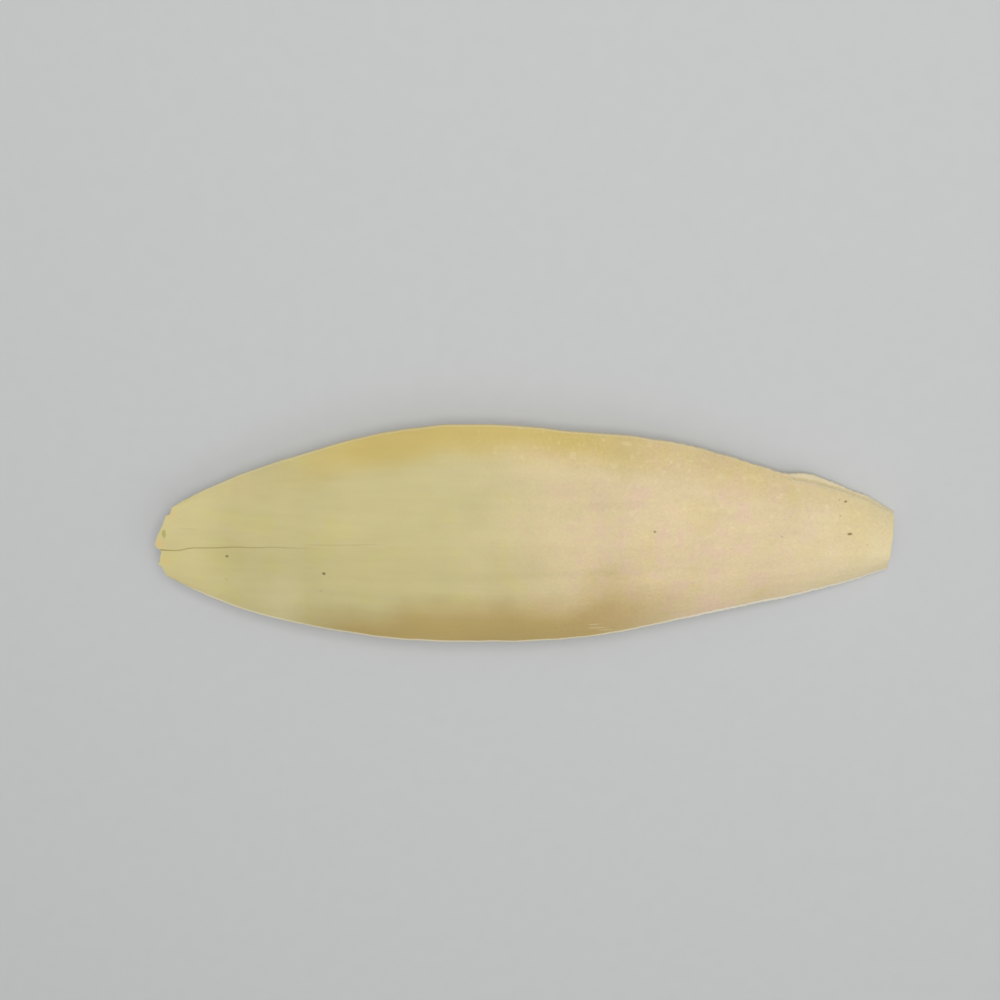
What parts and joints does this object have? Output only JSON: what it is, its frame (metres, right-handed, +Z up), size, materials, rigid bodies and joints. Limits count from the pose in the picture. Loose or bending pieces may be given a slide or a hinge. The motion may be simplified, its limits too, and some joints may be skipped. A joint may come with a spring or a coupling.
{
  "type": "cuttlebone",
  "caption": "Long boat-shaped cuttlebone with a smooth arched back, a thin edge, a stepped chalky underside, a chipped front end and a straight broken back end.",
  "frame": {"origin": "under the middle of the bounding box, on the surface that the bone lies on", "axes": "+X along the bone from its chipped front end to its broken back end, +Y to its left side, +Z up out of its hard back"},
  "size_m": [0.1598, 0.0482, 0.0153],
  "materials": {
    "chalky_shell": "matt, finely grained, cream"
  },
  "bodies": {
    "root": {"cuttlebone": "chalky_shell"}
  },
  "joints": []
}
